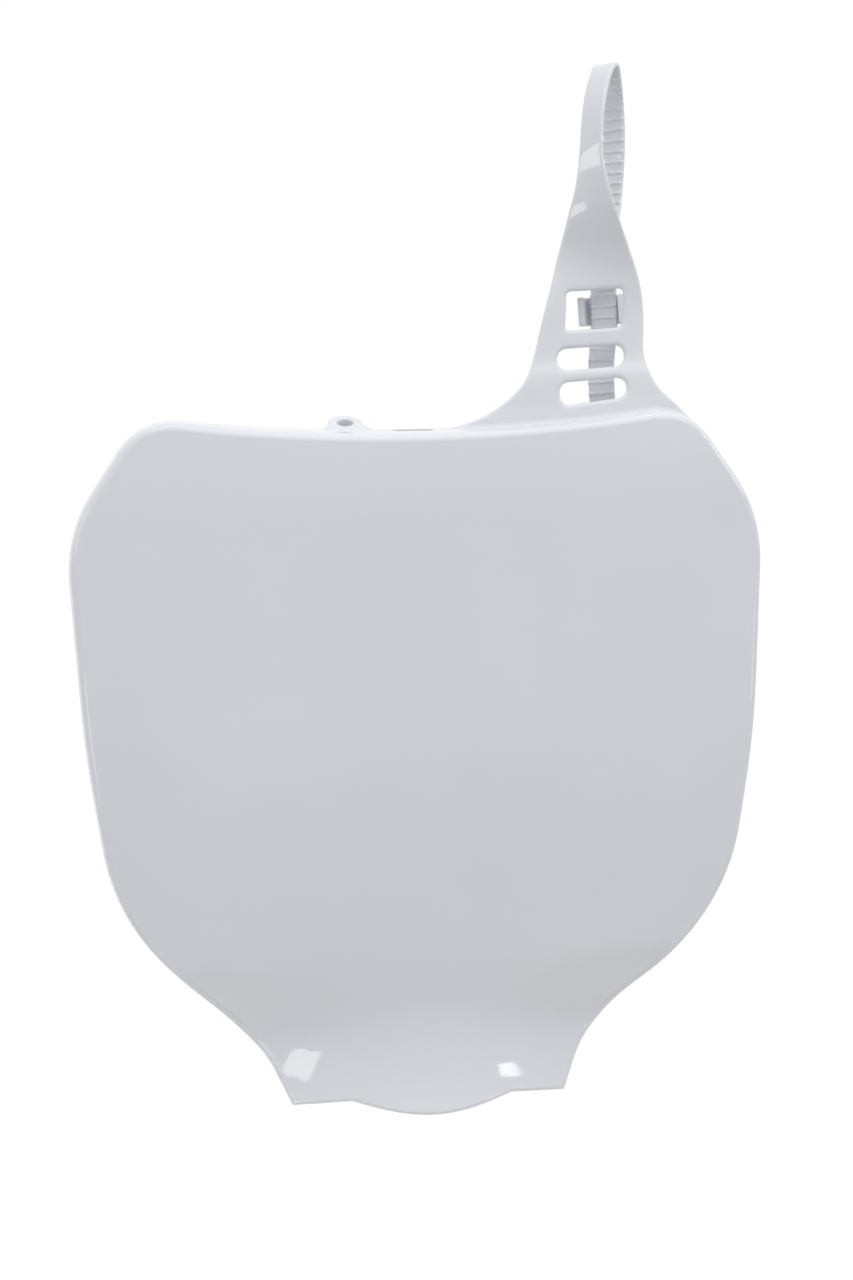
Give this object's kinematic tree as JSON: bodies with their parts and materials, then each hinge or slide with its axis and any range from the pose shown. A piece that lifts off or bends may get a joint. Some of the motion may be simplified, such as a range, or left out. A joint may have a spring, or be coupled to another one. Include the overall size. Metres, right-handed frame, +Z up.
{
  "type": "racing number board",
  "caption": "One-piece white plastic number board with a bowed face, rimmed edge, slotted tab, toothed strap loop and eyelet.",
  "frame": {"origin": "middle of the bore of the eyelet behind the top edge", "axes": "+Z up along the board to the strap loop, +Y to the back, +X to the side that carries the strap; the face looks along -Y"},
  "size_m": [0.2382, 0.0432, 0.3616],
  "materials": {
    "white_plastic": "gloss moulded polypropylene"
  },
  "bodies": {
    "root": {"number_board": "white_plastic"}
  },
  "joints": []
}
